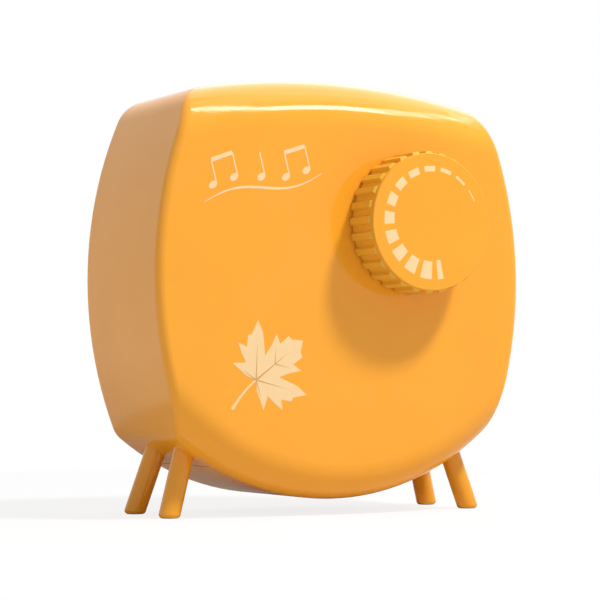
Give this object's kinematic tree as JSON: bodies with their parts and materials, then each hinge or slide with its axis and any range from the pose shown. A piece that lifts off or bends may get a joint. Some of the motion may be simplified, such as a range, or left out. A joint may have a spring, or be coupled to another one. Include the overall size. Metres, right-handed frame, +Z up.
{
  "type": "cylinder music box",
  "caption": "Wind-up cylinder music box in a glossy plastic case shaped like an old television, with a large ridged winding knob and splayed peg legs.",
  "frame": {"origin": "middle of the whole box on the floor: half way across, half way from the knob's face to the rear", "axes": "+Z up, -Y towards the front face with the knob, +X to the right seen from the front"},
  "size_m": [0.0992, 0.05, 0.1037],
  "materials": {
    "orange_plastic": "smooth glossy moulded plastic, warm orange",
    "bright_steel": "bright turned steel",
    "brass": "turned brass",
    "zinc_casting": "grey die-cast zinc alloy",
    "spring_steel": "blue-grey hardened spring steel",
    "white_nylon": "off-white moulded nylon"
  },
  "bodies": {
    "case": {"housing": "orange_plastic", "rear_cover": "orange_plastic", "rear_cover_screws": "bright_steel", "base_panel": "orange_plastic", "leg_front_left": "orange_plastic", "leg_front_right": "orange_plastic", "leg_rear_left": "orange_plastic", "leg_rear_right": "orange_plastic", "bedplate": "zinc_casting", "movement_screws": "bright_steel", "spring_drum": "bright_steel", "mainspring": "spring_steel", "cylinder_bearing": "zinc_casting", "comb": "spring_steel", "comb_screws": "bright_steel", "governor_frame": "zinc_casting", "frame_screws": "bright_steel"},
    "winder": {"winding_knob": "orange_plastic", "winding_arbor": "bright_steel", "great_wheel": "brass", "ratchet_wheel": "brass", "click_pawls": "bright_steel", "arbor_clip": "bright_steel"},
    "cylinder": {"pinned_cylinder": "brass", "cylinder_arbor": "bright_steel", "cylinder_pinion": "brass", "cylinder_wheel": "brass"},
    "governor": {"governor_arbor": "bright_steel", "governor_pinion": "white_nylon", "worm_wheel": "white_nylon"},
    "brake": {"worm_shaft": "bright_steel", "air_brake": "white_nylon"}
  },
  "joints": [
    {"name": "knob_turn", "type": "hinge", "parent": "case", "child": "winder", "pos_m": [0.01745, -0.015, 0.0695], "axis": [0, 1, 0], "range_deg": [0, 1170], "stiffness_Nm_per_rad": 0.0015},
    {"name": "cylinder_spin", "type": "hinge", "parent": "case", "child": "cylinder", "pos_m": [-0.01675, 0.00693, 0.0695], "axis": [1, 0, 0], "continuous": true},
    {"name": "governor_spin", "type": "hinge", "parent": "case", "child": "governor", "pos_m": [-0.02515, 0.00693, 0.0587], "axis": [1, 0, 0], "continuous": true},
    {"name": "brake_spin", "type": "hinge", "parent": "case", "child": "brake", "pos_m": [-0.02515, 0.00693, 0.0523], "axis": [0, 1, 0], "continuous": true}
  ],
  "couplings": [
    {"joint": "cylinder_spin", "follows": "knob_turn", "ratio": -3},
    {"joint": "governor_spin", "follows": "knob_turn", "ratio": 15},
    {"joint": "brake_spin", "follows": "knob_turn", "ratio": -360}
  ]
}
